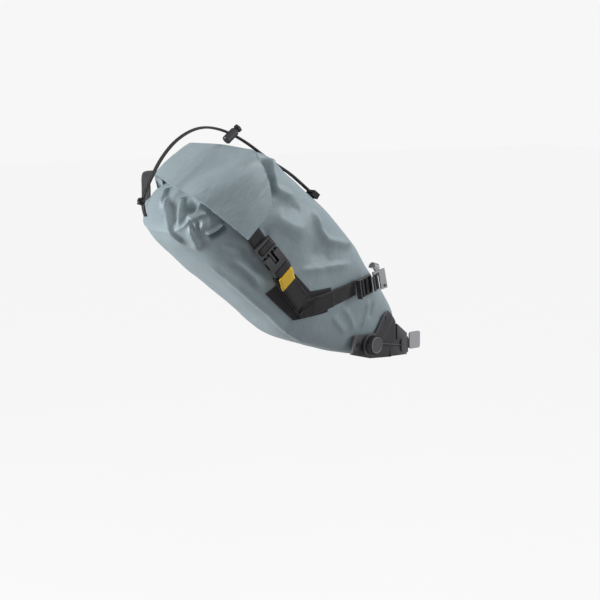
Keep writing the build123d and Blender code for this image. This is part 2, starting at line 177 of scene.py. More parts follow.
def mix(nodes, links, factor, a, b):
    m = nodes.new("ShaderNodeMix")
    m.data_type = "RGBA"
    sockets = [m.inputs[0], m.inputs[6], m.inputs[7]]
    for socket, value in zip(sockets, (factor, a, b)):
        if hasattr(value, "links"):
            links.new(value, socket)
        else:
            socket.default_value = value
    return m.outputs[2]


def math_node(nodes, links, operation, a, b):
    m = nodes.new("ShaderNodeMath")
    m.operation = operation
    for socket, value in zip(m.inputs, (a, b)):
        if hasattr(value, "links"):
            links.new(value, socket)
        else:
            socket.default_value = value
    return m.outputs[0]


def bump(nodes, links, shader, height, strength, distance):
    b = nodes.new("ShaderNodeBump")
    b.inputs["Strength"].default_value = strength
    b.inputs["Distance"].default_value = distance
    links.new(height, b.inputs["Height"])
    links.new(b.outputs["Normal"], shader.inputs["Normal"])


def bag_fabric(name, slub, light, mid, dark):
    """Coated heather fabric: soft fine threads, and sparse brighter slubs of uneven length."""
    m, nodes, links, shader = new_material(name)
    fine = noise_node(nodes, links, coords(nodes, links, "cloth", (110, 1700, 1)), 1.0, 2.0, 0.6)
    broad = noise_node(nodes, links, coords(nodes, links, "cloth", (60, 560, 1)), 1.0, 2.0, 0.6)
    sparse = noise_node(nodes, links, coords(nodes, links, "cloth", (60, 900, 1)), 1.0, 1.0, 0.5)
    cross = noise_node(nodes, links, coords(nodes, links, "cloth", (1200, 90, 1)), 1.0, 1.0)
    cloud = noise_node(nodes, links, coords(nodes, links, "cloth", (16, 16, 1)), 1.0, 3.0)
    threads = math_node(nodes, links, "ADD", math_node(nodes, links, "MULTIPLY", fine, 0.55),
                        math_node(nodes, links, "MULTIPLY", broad, 0.45))
    colour = ramp(nodes, links, threads, [(0.34, dark), (0.50, mid), (0.66, light)])
    slubs = ramp(nodes, links, sparse, [(0.64, (0, 0, 0, 1)), (0.76, (0.6, 0.6, 0.6, 1))])
    colour = mix(nodes, links, slubs, colour, slub)
    colour = mix(nodes, links, math_node(nodes, links, "MULTIPLY", cloud, 0.22), colour, dark)
    links.new(colour, shader.inputs["Base Color"])
    rough = nodes.new("ShaderNodeMapRange")
    rough.inputs["To Min"].default_value = 0.36
    rough.inputs["To Max"].default_value = 0.50
    links.new(broad, rough.inputs["Value"])
    links.new(rough.outputs["Result"], shader.inputs["Roughness"])
    shader.inputs["Specular IOR Level"].default_value = 0.45
    shader.inputs["Sheen Weight"].default_value = 0.10
    shader.inputs["Sheen Roughness"].default_value = 0.5
    weave = math_node(nodes, links, "ADD", math_node(nodes, links, "MULTIPLY", cross, 0.5), threads)
    bump(nodes, links, shader, weave, 0.25, 0.0004)
    return m


def webbing(name, base, light, rib=0.0016):
    """Woven band: ribs across the band and a fine chevron along it; cloth x runs along the band."""
    m, nodes, links, shader = new_material(name)
    wave = nodes.new("ShaderNodeTexWave")
    wave.bands_direction = "X"
    wave.inputs["Scale"].default_value = 0.314 / rib / 1.0
    wave.inputs["Distortion"].default_value = 0.6
    wave.inputs["Detail"].default_value = 1.0
    links.new(coords(nodes, links, "cloth", (1, 1, 1)), wave.inputs["Vector"])
    across = nodes.new("ShaderNodeTexWave")
    across.bands_direction = "Y"
    across.inputs["Scale"].default_value = 0.314 / 0.0011
    links.new(coords(nodes, links, "cloth", (1, 1, 1)), across.inputs["Vector"])
    grain = noise_node(nodes, links, coords(nodes, links, "cloth", (300, 300, 1)), 1.0, 3.0)
    height = math_node(nodes, links, "ADD", wave.outputs["Fac"],
                       math_node(nodes, links, "MULTIPLY", across.outputs["Fac"], 0.45))
    colour = ramp(nodes, links, math_node(nodes, links, "MULTIPLY", height, 0.7),
                  [(0.15, base), (0.95, light)])
    colour = mix(nodes, links, math_node(nodes, links, "MULTIPLY", grain, 0.35), colour, base)
    links.new(colour, shader.inputs["Base Color"])
    shader.inputs["Roughness"].default_value = 0.62
    shader.inputs["Specular IOR Level"].default_value = 0.35
    shader.inputs["Sheen Weight"].default_value = 0.15
    shader.inputs["Sheen Roughness"].default_value = 0.4
    bump(nodes, links, shader, height, 0.6, 0.0004)
    return m


def plastic(name, base, edge, rough_low, rough_high, grain=700, strength=0.12, specular=0.5):
    """Moulded plastic: fine spark-eroded grain, faint handling marks and slightly paler wear."""
    m, nodes, links, shader = new_material(name)
    vector = coords(nodes, links, "object", (1, 1, 1))
    fine = noise_node(nodes, links, vector, grain, 2.0)
    patchy = noise_node(nodes, links, vector, 60, 4.0, 0.6)
    pointy = nodes.new("ShaderNodeNewGeometry").outputs["Pointiness"]
    wear = ramp(nodes, links, pointy, [(0.50, (0, 0, 0, 1)), (0.60, (1, 1, 1, 1))])
    darker = tuple(c * 0.75 for c in base[:3]) + (1,)
    colour = mix(nodes, links, math_node(nodes, links, "MULTIPLY", patchy, 0.5), base, darker)
    colour = mix(nodes, links, wear, colour, edge)
    links.new(colour, shader.inputs["Base Color"])
    rough = nodes.new("ShaderNodeMapRange")
    rough.inputs["To Min"].default_value = rough_low
    rough.inputs["To Max"].default_value = rough_high
    links.new(patchy, rough.inputs["Value"])
    links.new(rough.outputs["Result"], shader.inputs["Roughness"])
    shader.inputs["Specular IOR Level"].default_value = specular
    bump(nodes, links, shader, fine, strength, 0.0002)
    return m


def metal(name, base, rough_low, rough_high, stretch=(40, 900, 900)):
    """Satin metal with fine lines from rolling and a few soft marks."""
    m, nodes, links, shader = new_material(name)
    lines = noise_node(nodes, links, coords(nodes, links, "object", stretch), 1.0, 3.0)
    marks = noise_node(nodes, links, coords(nodes, links, "object", (90, 90, 90)), 1.0, 4.0)
    dark = tuple(c * 0.7 for c in base[:3]) + (1,)
    colour = mix(nodes, links, math_node(nodes, links, "MULTIPLY", marks, 0.4), base, dark)
    links.new(colour, shader.inputs["Base Color"])
    rough = nodes.new("ShaderNodeMapRange")
    rough.inputs["To Min"].default_value = rough_low
    rough.inputs["To Max"].default_value = rough_high
    links.new(lines, rough.inputs["Value"])
    links.new(rough.outputs["Result"], shader.inputs["Roughness"])
    shader.inputs["Metallic"].default_value = 1.0
    bump(nodes, links, shader, lines, 0.08, 0.0001)
    return m


def patch_cloth(name, base, light):
    """Matte abrasion-resistant cloth with a fine square weave."""
    m, nodes, links, shader = new_material(name)
    height = None
    for direction in ("X", "Y"):
        wave = nodes.new("ShaderNodeTexWave")
        wave.bands_direction = direction
        wave.inputs["Scale"].default_value = 0.314 / 0.0009
        wave.inputs["Distortion"].default_value = 0.4
        links.new(coords(nodes, links, "cloth", (1, 1, 1)), wave.inputs["Vector"])
        thread = wave.outputs["Fac"]
        height = thread if height is None else math_node(nodes, links, "ADD", height, thread)
    cloud = noise_node(nodes, links, coords(nodes, links, "cloth", (70, 70, 1)), 1.0, 4.0)
    colour = ramp(nodes, links, math_node(nodes, links, "MULTIPLY", height, 0.5),
                  [(0.1, base), (0.95, light)])
    colour = mix(nodes, links, math_node(nodes, links, "MULTIPLY", cloud, 0.5), colour, base)
    links.new(colour, shader.inputs["Base Color"])
    shader.inputs["Roughness"].default_value = 0.7
    shader.inputs["Specular IOR Level"].default_value = 0.25
    bump(nodes, links, shader, height, 0.4, 0.0002)
    return m


def braided(name, base, light):
    """Braided sheath of a shock cord: small diamonds along the cord."""
    m, nodes, links, shader = new_material(name)
    checker = nodes.new("ShaderNodeTexWave")
    checker.bands_direction = "DIAGONAL"
    checker.inputs["Scale"].default_value = 330
    checker.inputs["Distortion"].default_value = 1.5
    links.new(coords(nodes, links, "object", (1, 1, 1)), checker.inputs["Vector"])
    colour = ramp(nodes, links, checker.outputs["Fac"], [(0.2, base), (0.9, light)])
    links.new(colour, shader.inputs["Base Color"])
    shader.inputs["Roughness"].default_value = 0.6
    bump(nodes, links, shader, checker.outputs["Fac"], 0.5, 0.0003)
    return m


FABRIC = bag_fabric("blue_fabric", srgb(176, 190, 195), srgb(147, 161, 167), srgb(138, 153, 159),
                    srgb(127, 142, 149))
WEB = webbing("black_webbing", srgb(24, 24, 26), srgb(56, 56, 59))
YELLOW = webbing("yellow_tab", srgb(214, 170, 20), srgb(240, 202, 50), 0.0013)
PATCH = patch_cloth("patch_fabric", srgb(38, 38, 40), srgb(60, 60, 63))
BLACK = plastic("black_plastic", srgb(42, 42, 44), srgb(82, 82, 85), 0.36, 0.52)
BUCKLE_BLACK = plastic("buckle_plastic", srgb(18, 18, 19), srgb(62, 62, 65), 0.30, 0.46, grain=400,
                       strength=0.06)
BRACKET = plastic("bracket_plastic", srgb(60, 60, 63), srgb(92, 92, 95), 0.45, 0.60)
RUBBER = plastic("black_rubber", srgb(24, 24, 25), srgb(40, 40, 41), 0.6, 0.75, grain=500,
                 strength=0.25, specular=0.3)
GREY = plastic("grey_tab", srgb(128, 128, 133), srgb(165, 165, 170), 0.5, 0.65, grain=500, strength=0.2)
LINER = plastic("liner_sheet", srgb(75, 75, 75), srgb(95, 95, 95), 0.5, 0.6)
ALUMINIUM = metal("hook_aluminium", (0.36, 0.37, 0.38, 1), 0.40, 0.55)
DARK_STEEL = metal("dark_steel", (0.16, 0.16, 0.165, 1), 0.3, 0.45)
SPRING = metal("spring_steel", (0.60, 0.60, 0.61, 1), 0.2, 0.35)
SHEATH = braided("cord_sheath", srgb(24, 24, 26), srgb(58, 58, 61))
THREAD = patch_cloth("thread", srgb(16, 16, 17), srgb(60, 60, 63))

CAD_FINISH = {
    "nose_stiffener": LINER, "roll_stiffener": LINER, "mount_bracket": BRACKET, "post_pad": RUBBER,
    "bracket_rivets": DARK_STEEL, "dial_base": BLACK, "dial_spool": BLACK, "dial_sleeve": SPRING,
    "dial_knob": RUBBER,
    "dial_face": BLACK, "dial_lace": DARK_STEEL, "lace_guide": BLACK, "post_strap": BLACK,
    "strap_hinge_pin": SPRING,
    "strap_pull_tab": GREY, "cord_anchor": WEB, "cord_lock_barrel": BUCKLE_BLACK,
    "cord_lock_plunger": BUCKLE_BLACK,
    "cord_lock_spring": SPRING,
}
CAD_PAIRS = {
    "ladder_lock": BUCKLE_BLACK, "buckle_female": BUCKLE_BLACK, "buckle_male": BUCKLE_BLACK,
    "buckle_prong_upper": BUCKLE_BLACK, "buckle_prong_lower": BUCKLE_BLACK, "rail_hook": ALUMINIUM,
    "hook_rivet": DARK_STEEL,
}
for base, material in CAD_PAIRS.items():
    CAD_FINISH[base + "_right"] = material
    CAD_FINISH[base + "_left"] = material
for node, material in CAD_FINISH.items():
    mesh = NODES[node].data
    mesh.materials.clear()
    mesh.materials.append(material)


# ---------------------------------------------------------------- bag
def section_ring(row, angle):
    """One ring of the bag: row is bottom x, z, top x, z, half width; angle is an array."""
    low = np.array([row[0], 0, row[1]])
    high = np.array([row[2], 0, row[3]])
    middle = (low + high) / 2
    up = (high - low) / 2
    c, s = np.cos(angle), np.sin(angle)
    f = np.sign(s) * np.abs(s) ** (2 / POWER)
    g = np.sign(c) * np.abs(c) ** (2 / POWER)
    k = (1 + BOTTOM_RATIO) / 2 + (1 - BOTTOM_RATIO) / 2 * f
    return middle + np.outer(f, up) + np.outer(g * k, [0, row[4], 0])


def even_angles(count):
    """Angles whose points lie evenly spaced on the rounded section."""
    a = np.linspace(0, 2 * math.pi, 4001)
    c, s = np.cos(a), np.sin(a)
    x = np.sign(c) * np.abs(c) ** (2 / POWER)
    y = np.sign(s) * np.abs(s) ** (2 / POWER)
    d = np.concatenate([[0], np.cumsum(np.hypot(np.diff(x), np.diff(y)))])
    return np.interp(np.linspace(0, d[-1], count, endpoint=False), d, a)


RING = 300
ANGLES = even_angles(RING)


def bag_grid():
    rows = catmull(SECTIONS, 30)
    rings = [section_ring(row, ANGLES) for row in rows]
    last = rings[-1]
    centre = last.mean(0)
    out = unit(np.array([-0.87, 0, 0.50]))
    for k in range(1, 30):
        u = k / 30
        rings.append(centre + (last - centre) * (1 - u) + out * 0.0035 * (1 - (1 - u) ** 4))
    return np.array(rings)


def segment_distance(p, a, b):
    """Distance from points p to the segment, how far along it, and the offset from its nearest point."""
    ab = b - a
    t = np.clip(((p - a) @ ab) / (ab @ ab), 0, 1)
    near = a + t[:, None] * ab
    return np.linalg.norm(p - near, axis=1), t, p - near


def fold(points, normals, path, width, height, taper=0.25, lean=0.0):
    """Height of a soft fold along a short path: width is its half width, lean makes one side steeper."""
    path = np.array(path, float)
    lengths = np.linalg.norm(np.diff(path, axis=0), axis=1)
    total = lengths.sum()
    best = np.full(len(points), 9.0)
    along = np.zeros(len(points))
    side = np.zeros(len(points))
    done = 0.0
    for a, b, length in zip(path, path[1:], lengths):
        d, t, off = segment_distance(points, a, b)
        closer = d < best
        best = np.where(closer, d, best)
        along = np.where(closer, (done + t * length) / total, along)
        across = np.cross((b - a) / length, normals)
        side = np.where(closer, (off * across).sum(1), side)
        done += length
    ends = np.clip(along / taper, 0, 1) * np.clip((1 - along) / taper, 0, 1)
    ends = ends * ends * (3 - 2 * ends)
    reach = np.where(side > 0, width * (1 + lean), width * (1 - lean))
    return height * np.exp(-((best / np.maximum(reach, 1e-4)) ** 2)) * ends


# Folds pressed into the bag, each (path, half width, height, taper at the ends, lean to one side), in metres.
REAR_FOLDS = [
    ([(-0.336, 0.024, 0.229), (-0.349, 0.015, 0.216), (-0.360, 0.011, 0.204)], 0.0034, 0.0056, 0.30, 0.3),
    ([(-0.346, 0.016, 0.2195), (-0.360, -0.008, 0.204), (-0.366, -0.026, 0.188), (-0.361, -0.036, 0.170),
      (-0.352, -0.037, 0.157)], 0.0044, 0.0060, 0.22, 0.35),
    ([(-0.344, -0.024, 0.221), (-0.353, -0.036, 0.208), (-0.361, -0.044, 0.194), (-0.362, -0.041, 0.180)],
     0.0028, 0.0066, 0.22, 0.3),
    ([(-0.344, -0.002, 0.217), (-0.357, -0.021, 0.200), (-0.363, -0.036, 0.187)], 0.0060, -0.0044, 0.30, 0.0),
    ([(-0.343, -0.038, 0.208), (-0.343, -0.056, 0.207)], 0.0085, -0.0110, 0.40, 0.0),
    ([(-0.358, -0.051, 0.193), (-0.349, -0.059, 0.198), (-0.336, -0.065, 0.203)], 0.0030, 0.0054, 0.20, -0.5),
    ([(-0.347, -0.060, 0.192), (-0.331, -0.066, 0.190)], 0.0085, 0.0040, 0.40, 0.0),
    ([(-0.356, -0.055, 0.190), (-0.353, -0.054, 0.174)], 0.0018, 0.0020, 0.35, 0.0),
    ([(-0.350, -0.060, 0.194), (-0.349, -0.057, 0.177)], 0.0018, 0.0022, 0.35, 0.0),
    ([(-0.342, -0.063, 0.195), (-0.343, -0.060, 0.179)], 0.0018, 0.0018, 0.35, 0.0),
    ([(-0.339, -0.060, 0.176), (-0.328, -0.067, 0.184), (-0.316, -0.071, 0.193)], 0.0036, 0.0060, 0.25, 0.4),
    ([(-0.335, -0.059, 0.172), (-0.322, -0.062, 0.178), (-0.310, -0.067, 0.187)], 0.0032, -0.0120, 0.20, 0.2),
    ([(-0.354, -0.056, 0.191), (-0.354, -0.055, 0.180), (-0.347, -0.053, 0.164), (-0.337, -0.045, 0.150)],
     0.0044, 0.0046, 0.30, 0.3),
    ([(-0.345, 0.062, 0.216), (-0.355, 0.058, 0.190)], 0.0044, 0.0034, 0.35, 0.0),
]
SIDE_FOLDS = [
    ([(-0.330, -0.037, 0.140), (-0.275, -0.040, 0.098), (-0.208, -0.034, 0.047), (-0.150, -0.020, 0.015)],
     0.0040, 0.0018, 0.15, -0.3),
    ([(-0.250, -0.045, 0.270), (-0.256, -0.068, 0.243), (-0.254, -0.073, 0.213)], 0.0075, -0.0130, 0.22, 0.0),
    ([(-0.236, -0.045, 0.262), (-0.2445, -0.0655, 0.252), (-0.2445, -0.0725, 0.229), (-0.226, -0.069, 0.220),
      (-0.210, -0.068, 0.214)], 0.0062, 0.0068, 0.20, 0.2),
    ([(-0.228, -0.069, 0.207), (-0.203, -0.067, 0.197)], 0.0060, -0.0024, 0.35, 0.0),
    ([(-0.244, -0.072, 0.206), (-0.237, -0.073, 0.190), (-0.218, -0.070, 0.181), (-0.192, -0.066, 0.174)],
     0.0105, 0.0048, 0.25, 0.2),
    ([(-0.190, -0.066, 0.205), (-0.178, -0.066, 0.191), (-0.1735, -0.066, 0.173), (-0.164, -0.065, 0.162),
      (-0.139, -0.058, 0.1555), (-0.108, -0.042, 0.148)], 0.0052, 0.0056, 0.20, 0.3),
    ([(-0.199, -0.067, 0.149), (-0.149, -0.063, 0.140)], 0.0110, -0.0034, 0.35, 0.0),
    ([(-0.209, -0.066, 0.124), (-0.163, -0.064, 0.128), (-0.113, -0.052, 0.128)], 0.0048, 0.0026, 0.25, 0.4),
    ([(-0.143, -0.051, 0.062), (-0.125, -0.043, 0.045), (-0.108, -0.036, 0.030)], 0.0045, 0.0024, 0.30, 0.0),
    ([(-0.128, -0.046, 0.074), (-0.105, -0.039, 0.050), (-0.094, -0.034, 0.028)], 0.0040, 0.0024, 0.30, 0.0),
    ([(-0.082, -0.031, 0.034), (-0.078, -0.035, 0.055), (-0.072, -0.035, 0.078)], 0.0034, 0.0030, 0.30, 0.0),
    ([(-0.070, -0.029, 0.044), (-0.064, -0.031, 0.072)], 0.0028, -0.0020, 0.35, 0.0),
    ([(-0.298, -0.065, 0.150), (-0.270, -0.067, 0.128), (-0.236, -0.064, 0.106)], 0.0050, 0.0026, 0.30, 0.3),
    ([(-0.308, -0.062, 0.146), (-0.280, -0.063, 0.122), (-0.250, -0.060, 0.098)], 0.0050, -0.0022, 0.30, 0.0),
    ([(-0.322, -0.064, 0.166), (-0.300, -0.068, 0.158), (-0.278, -0.070, 0.150)], 0.0060, -0.0036, 0.35, 0.0),
    ([(-0.262, -0.072, 0.185), (-0.256, -0.071, 0.165)], 0.0060, -0.0022, 0.35, 0.0),
]
LEFT_FOLDS = [([(x, -y, z) for x, y, z in path], width * 1.1, height * 0.85, taper, -lean)
              for path, width, height, taper, lean in SIDE_FOLDS]
FOLDS = REAR_FOLDS + SIDE_FOLDS + LEFT_FOLDS


def on_surface(path, points, step=0.008):
    """The path with points added along it, each moved to the nearest point of the surface."""
    path = np.array(path, float)
    out = []
    for a, b in zip(path, path[1:]):
        count = max(1, int(np.linalg.norm(b - a) / step))
        out += [a + (b - a) * k / count for k in range(count)]
    out.append(path[-1])
    return [points[np.argmin(((points - p) ** 2).sum(1))] for p in out]


def wrinkled_bag():
    g = bag_grid()
    n = -grid_normals(np.concatenate([g[:, -1:], g, g[:, :1]], axis=1))[:, 1:-1]
    if ((g[60] - g[60].mean(0)) * n[60]).sum() < 0:
        n = -n
    points, normals = g.reshape(-1, 3), n.reshape(-1, 3)
    rise = np.zeros(len(points))
    for path, width, height, taper, lean in FOLDS:
        rise += fold(points, normals, on_surface(path, points), width, height, taper, lean)
    soft = np.array([noise.fractal(Vector(p) * 14.0, 0.9, 2.0, 3) for p in points])
    rise += soft * 0.0016
    return g, (points + normals * rise[:, None]).reshape(g.shape)


def bag_cloth(g):
    along = np.concatenate([[0], np.cumsum(np.linalg.norm(np.diff(g.mean(1), axis=0), axis=1))])
    steps = np.linalg.norm(np.diff(g, axis=1), axis=2)
    around = np.concatenate([np.zeros((len(g), 1)), np.cumsum(steps, axis=1)], axis=1)
    cloth = np.zeros(g.shape)
    cloth[..., 0] = along[:, None]
    cloth[..., 1] = around
    return cloth.reshape(-1, 3)


def build_bag():
    smooth, g = wrinkled_bag()
    rows, cols = g.shape[:2]
    verts = list(g.reshape(-1, 3))
    cloth = list(bag_cloth(smooth))
    faces = grid_faces(rows, cols, wrap=True, flip=True)
    for ring, flip in ((0, True), (rows - 1, False)):
        centre = len(verts)
        verts.append(g[ring].mean(0))
        cloth.append(cloth[ring * cols])
        for j in range(cols):
            f = (ring * cols + j, ring * cols + (j + 1) % cols, centre)
            faces.append(f if flip else f[::-1])
    return make("bag_shell", verts, faces, FABRIC, cloth)


bag = build_bag()
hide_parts("bag_body", "collar")
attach(bag, "bag")


def tree_of(obj):
    points = [v.co.copy() for v in obj.data.vertices]
    return BVHTree.FromPolygons(points, [tuple(p.vertices) for p in obj.data.polygons])


BAG_TREE = tree_of(bag)
SMOOTH_GRID = bag_grid()
SMOOTH_TREE = BVHTree.FromPolygons([Vector(p) for p in SMOOTH_GRID.reshape(-1, 3)],
                                   grid_faces(*SMOOTH_GRID.shape[:2], wrap=True, flip=True))


def bag_side(x, z, side):
    """The point and outward normal of the bag's side at (x, z); side is -1 for the right."""
    hit, normal, _, _ = BAG_TREE.ray_cast(Vector((x, side * 0.3, z)), Vector((0, -side, 0)))
    if hit is None:
        return None, None
    if normal.y * side < 0:
        normal = -normal
    return np.array(hit), np.array(normal)


def clear_of_bag(p, gap):
    """The point, moved outward where it is closer to the bag's smooth form than gap."""
    hit, normal, _, _ = SMOOTH_TREE.find_nearest(Vector(p))
    outside = (Vector(p) - hit).dot(normal)
    if outside < gap:
        return np.array(Vector(p) + normal * (gap - outside))
    return np.array(p)


def build_liner():
    """The plastic sheet inside the nose, following the inside of the bag along its bottom and sides."""
    g = bag_grid()[5:150:4, ::4]
    centre = g.mean(1, keepdims=True)
    height = g[..., 2] - centre[..., 2]
    keep = height < 0.10 * (g[..., 2].max(1, keepdims=True) - g[..., 2].min(1, keepdims=True))
    inner = g + unit(centre - g) * 0.004
    rows, cols = g.shape[:2]
    faces = [f for f in grid_faces(rows, cols, wrap=True) if all(keep.reshape(-1)[i] for i in f)]
    used = sorted({i for f in faces for i in f})
    place = {i: k for k, i in enumerate(used)}
    piece = make("nose_liner", inner.reshape(-1, 3)[used], [tuple(place[i] for i in f) for f in faces], LINER)
    thick = piece.modifiers.new("sheet", "SOLIDIFY")
    thick.thickness = 0.001
    thick.offset = 0
    return piece


liner = build_liner()
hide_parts("nose_stiffener")
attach(liner, "bag")


# ---------------------------------------------------------------- flap of the rolled end
def spread(points, steps, passes):
    """Straight runs between the points, with the corners softened by a few smoothing passes."""
    points = np.asarray(points, float)
    line = []
    for a, b in zip(points, points[1:]):
        line += [a + (b - a) * k / steps for k in range(steps)]
    line = np.array(line + [points[-1]])
    for _ in range(passes):
        line[1:-1] = (line[:-2] + 2 * line[1:-1] + line[2:]) / 4
    return line


def build_flap():
    front = [(-0.252, -0.0780, 0.205), (-0.258, -0.0785, 0.238), (-0.266, -0.0600, 0.2745),
             (-0.280, 0.000, 0.2800), (-0.291, 0.0570, 0.2800), (-0.268, 0.0785, 0.248), (-0.252, 0.0780, 0.205)]
    rear = [(-0.2885, -0.0780, 0.1690), (-0.308, -0.0785, 0.184), (-0.336, -0.0710, 0.2075),
            (-0.343, 0.010, 0.2330), (-0.336, 0.0630, 0.2430), (-0.318, 0.0785, 0.205), (-0.2885, 0.0780, 0.1690)]
    a = spread(front, 18, 5)
    b = spread(rear, 18, 5)
    rows = 26
    t = np.linspace(0, 1, rows)[:, None, None]
    g = a[None] * (1 - t) + b[None] * t
    outward = np.array([-0.55, 0, 0.83])
    n = grid_normals(g)
    n = n if n[rows // 2, len(a) // 2] @ outward > 0 else -n
    across_share = np.linspace(0, 1, len(a))[None, :, None]
    g = g + n * 0.0035 * np.sin(math.pi * t) ** 0.8 * np.sin(math.pi * across_share) ** 0.5
    points = g.reshape(-1, 3)
    normals = grid_normals(g).reshape(-1, 3)
    rise = np.zeros(len(points))
    for path, width, height, taper, lean in FLAP_FOLDS:
        rise += fold(points, normals, on_surface(path, points), width, height, taper, lean)
    rise += np.array([noise.fractal(Vector(p) * 18.0, 0.9, 2.0, 3) for p in points]) * 0.0008
    sign = 1.0 if normals[len(normals) // 2] @ outward > 0 else -1.0
    points = points + normals * (sign * rise)[:, None]
    g = np.array([clear_of_bag(p, 0.0055) for p in points]).reshape(g.shape)
    for _ in range(2):
        inner = (g[:-2, 1:-1] + g[2:, 1:-1] + g[1:-1, :-2] + g[1:-1, 2:]) / 4
        g[1:-1, 1:-1] = 0.5 * g[1:-1, 1:-1] + 0.5 * inner
    n = grid_normals(g)
    n = n if n[rows // 2, len(a) // 2] @ outward > 0 else -n
    cols = g.shape[1]
    under = np.array([toward_bag(p, m) for p, m in zip(g.reshape(-1, 3), n.reshape(-1, 3))])
    verts = np.vstack([g.reshape(-1, 3), under])
    across = np.concatenate([[0], np.cumsum(np.linalg.norm(np.diff(g[rows // 2], axis=0), axis=1))])
    down = np.concatenate([[0], np.cumsum(np.linalg.norm(np.diff(g[:, cols // 2], axis=0), axis=1))])
    cloth = np.zeros(g.shape)
    cloth[..., 0] = down[:, None] * 0.95 + across[None, :] * 0.25 + 3.0
    cloth[..., 1] = across[None, :] * 0.95 - down[:, None] * 0.25 + 3.0
    cloth = np.vstack([cloth.reshape(-1, 3)] * 2)
    total = rows * cols
    faces = grid_faces(rows, cols) + grid_faces(rows, cols, start=total, flip=True)
    rim = [i * cols for i in range(rows)] + [(rows - 1) * cols + j for j in range(1, cols)]
    rim += [i * cols + cols - 1 for i in range(rows - 2, -1, -1)] + [j for j in range(cols - 2, 0, -1)]
    for p, q in zip(rim, rim[1:] + rim[:1]):
        faces.append((p, p + total, q + total, q))
    piece = make("roll_flap", verts, faces, FABRIC, cloth)
    bevel = piece.modifiers.new("edge", "BEVEL")
    bevel.width = 0.0012
    bevel.segments = 3
    bevel.limit_method = "ANGLE"
    bevel.angle_limit = math.radians(50)
    return piece, float(across[-1]), float(down[-1])


THIN_OVER_STRAP = 0.0028
FLAP_LEAST, FLAP_MOST = 0.0045, 0.011


def over_strap(p):
    """Whether a point of the flap lies over the stretch where the closure strap slides under it."""
    frame_axes = np.array([STRAP_UP, STRAP_ACROSS])
    along, across = (np.array([p[0], 0, p[2]]) - [BUCKLE_ORIGIN[0], 0, BUCKLE_ORIGIN[2]]) @ frame_axes.T
    return abs(p[1]) > 0.060 and abs(across) < 0.0150 and along < 0.078


def toward_bag(p, normal):
    """The underside of the flap: just above the bag, and thin over the closure strap."""
    if over_strap(p):
        return np.array(p) - np.array(normal) * THIN_OVER_STRAP
    down = Vector(-normal)
    hit, _, _, distance = BAG_TREE.ray_cast(Vector(p), down)
    depth = FLAP_MOST if hit is None else min(max(distance - 0.0008, FLAP_LEAST), FLAP_MOST)
    return np.array(p) - np.array(normal) * depth


FLAP_FOLDS = [
    ([(-0.334, -0.070, 0.210), (-0.312, -0.068, 0.232), (-0.292, -0.064, 0.252)], 0.0045, 0.0016, 0.3, 0.0),
]
flap, flap_width, flap_length = build_flap()


def build_batten():
    """The flat strip that the mouth is rolled round, inside the roll."""
    tree = tree_of(flap)
    points = []
    for k in range(9):
        y = -0.048 + 0.012 * k
        hit, normal, _, _ = tree.ray_cast(Vector((-0.313, y, 0.40)), Vector((0, 0, -1)))
        points.append(np.array(hit) - np.array(normal) * 0.0023)
    return ribbon("roll_batten", points, [np.array([-0.83, 0, -0.55])] * len(points), 0.022, 0.0012, LINER, 4)


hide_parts("roll_top")
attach(flap, "bag")


# ---------------------------------------------------------------- cords
def nurbs(name, points, radius, material):
    curve = bpy.data.curves.new(name, "CURVE")
    curve.dimensions = "3D"
    curve.bevel_depth = radius
    curve.bevel_resolution = 4
    curve.resolution_u = 12
    curve.use_fill_caps = True
    spline = curve.splines.new("NURBS")
    spline.points.add(len(points) - 1)
    for target, p in zip(spline.points, points):
        target.co = (*p, 1)
    spline.order_u = 3
    spline.use_endpoint_u = True
    curve.materials.append(material)
    obj = bpy.data.objects.new(name, curve)
    bpy.context.scene.collection.objects.link(obj)
    return obj


CORD_ROUTE = [
    (-0.164, -0.032, 0.217), (-0.180, -0.0315, 0.230), (-0.198, -0.0305, 0.244), (-0.220, -0.021, 0.259),
    (-0.249, -0.008, 0.284), (-0.283, -0.007, 0.299), (-0.312, -0.005, 0.3015), (-0.340, -0.002, 0.288),
    (-0.361, 0.001, 0.265), (-0.375, 0.003, 0.239), (-0.388, 0.004, 0.214), (-0.382, 0.003, 0.196),
]


def tube(name, line, radius, material, sides=12):
    line = np.asarray(line, float)
    t = unit(np.gradient(line, axis=0))
    ref = np.array([0.1, 1.0, 0.2])
    a = unit(np.cross(t, ref))
    b = np.cross(t, a)
    ang = np.linspace(0, 2 * math.pi, sides, endpoint=False)
    ring = a[:, None] * np.cos(ang)[None, :, None] + b[:, None] * np.sin(ang)[None, :, None]
    g = line[:, None] + radius * ring
    verts = list(g.reshape(-1, 3))
    faces = grid_faces(len(line), sides, wrap=True)
    for ring, flip in ((0, False), (len(line) - 1, True)):
        centre = len(verts)
        verts.append(line[ring])
        for j in range(sides):
            f = (ring * sides + j, ring * sides + (j + 1) % sides, centre)
            faces.append(f[::-1] if flip else f)
    return make(name, verts, faces, material)


def build_knot():
    """An overhand knot drawn tight round both strands."""
    centre = np.array([-0.388, 0.004, 0.214])
    along = unit(np.array([-0.3, 0, -0.95]))
    side = np.array([0, 1.0, 0])
    out = np.cross(along, side)
    pieces = []
    for offset in (0.0, 1.6):
        s = np.linspace(0, 2 * math.pi, 70)
        x = (np.sin(s + offset) + 2 * np.sin(2 * s + offset)) * 0.00105
        y = (np.cos(s + offset) - 2 * np.cos(2 * s + offset)) * 0.00105
        z = -np.sin(3 * s) * 0.0017 + (offset - 0.8) * 0.0017
        line = centre + np.outer(x, side) + np.outer(y, out) + np.outer(z, along)
        pieces.append(tube("knot_turn", line, 0.0014, SHEATH, 10))
    return join("cord_end_knot", pieces)


